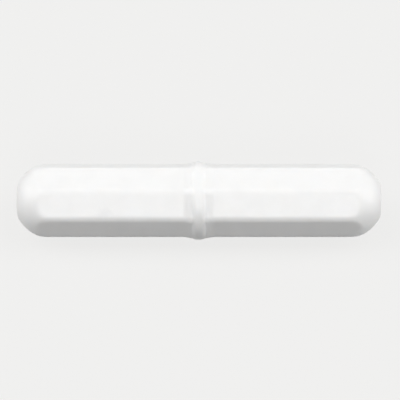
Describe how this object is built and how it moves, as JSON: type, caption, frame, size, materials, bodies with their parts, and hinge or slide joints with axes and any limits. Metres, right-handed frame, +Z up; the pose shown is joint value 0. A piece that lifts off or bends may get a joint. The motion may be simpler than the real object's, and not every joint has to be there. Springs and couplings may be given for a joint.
{
  "type": "magnetic stir bar",
  "caption": "White octagonal stir bar with ball ends and a raised pivot ring round its middle, moulded in one piece over a sealed rod magnet.",
  "frame": {"origin": "under the lowest point of the pivot ring, midway along the bar, on the surface it lies on", "axes": "+X along the bar, +Y across it, +Z up"},
  "size_m": [0.0412, 0.0088, 0.0089],
  "materials": {
    "ptfe": "smooth, waxy and slightly translucent, with a broad soft sheen",
    "magnet": "dark grey cast alloy with ground sides"
  },
  "bodies": {
    "root": {"ptfe_jacket": "ptfe", "magnet_core": "magnet"}
  },
  "joints": []
}
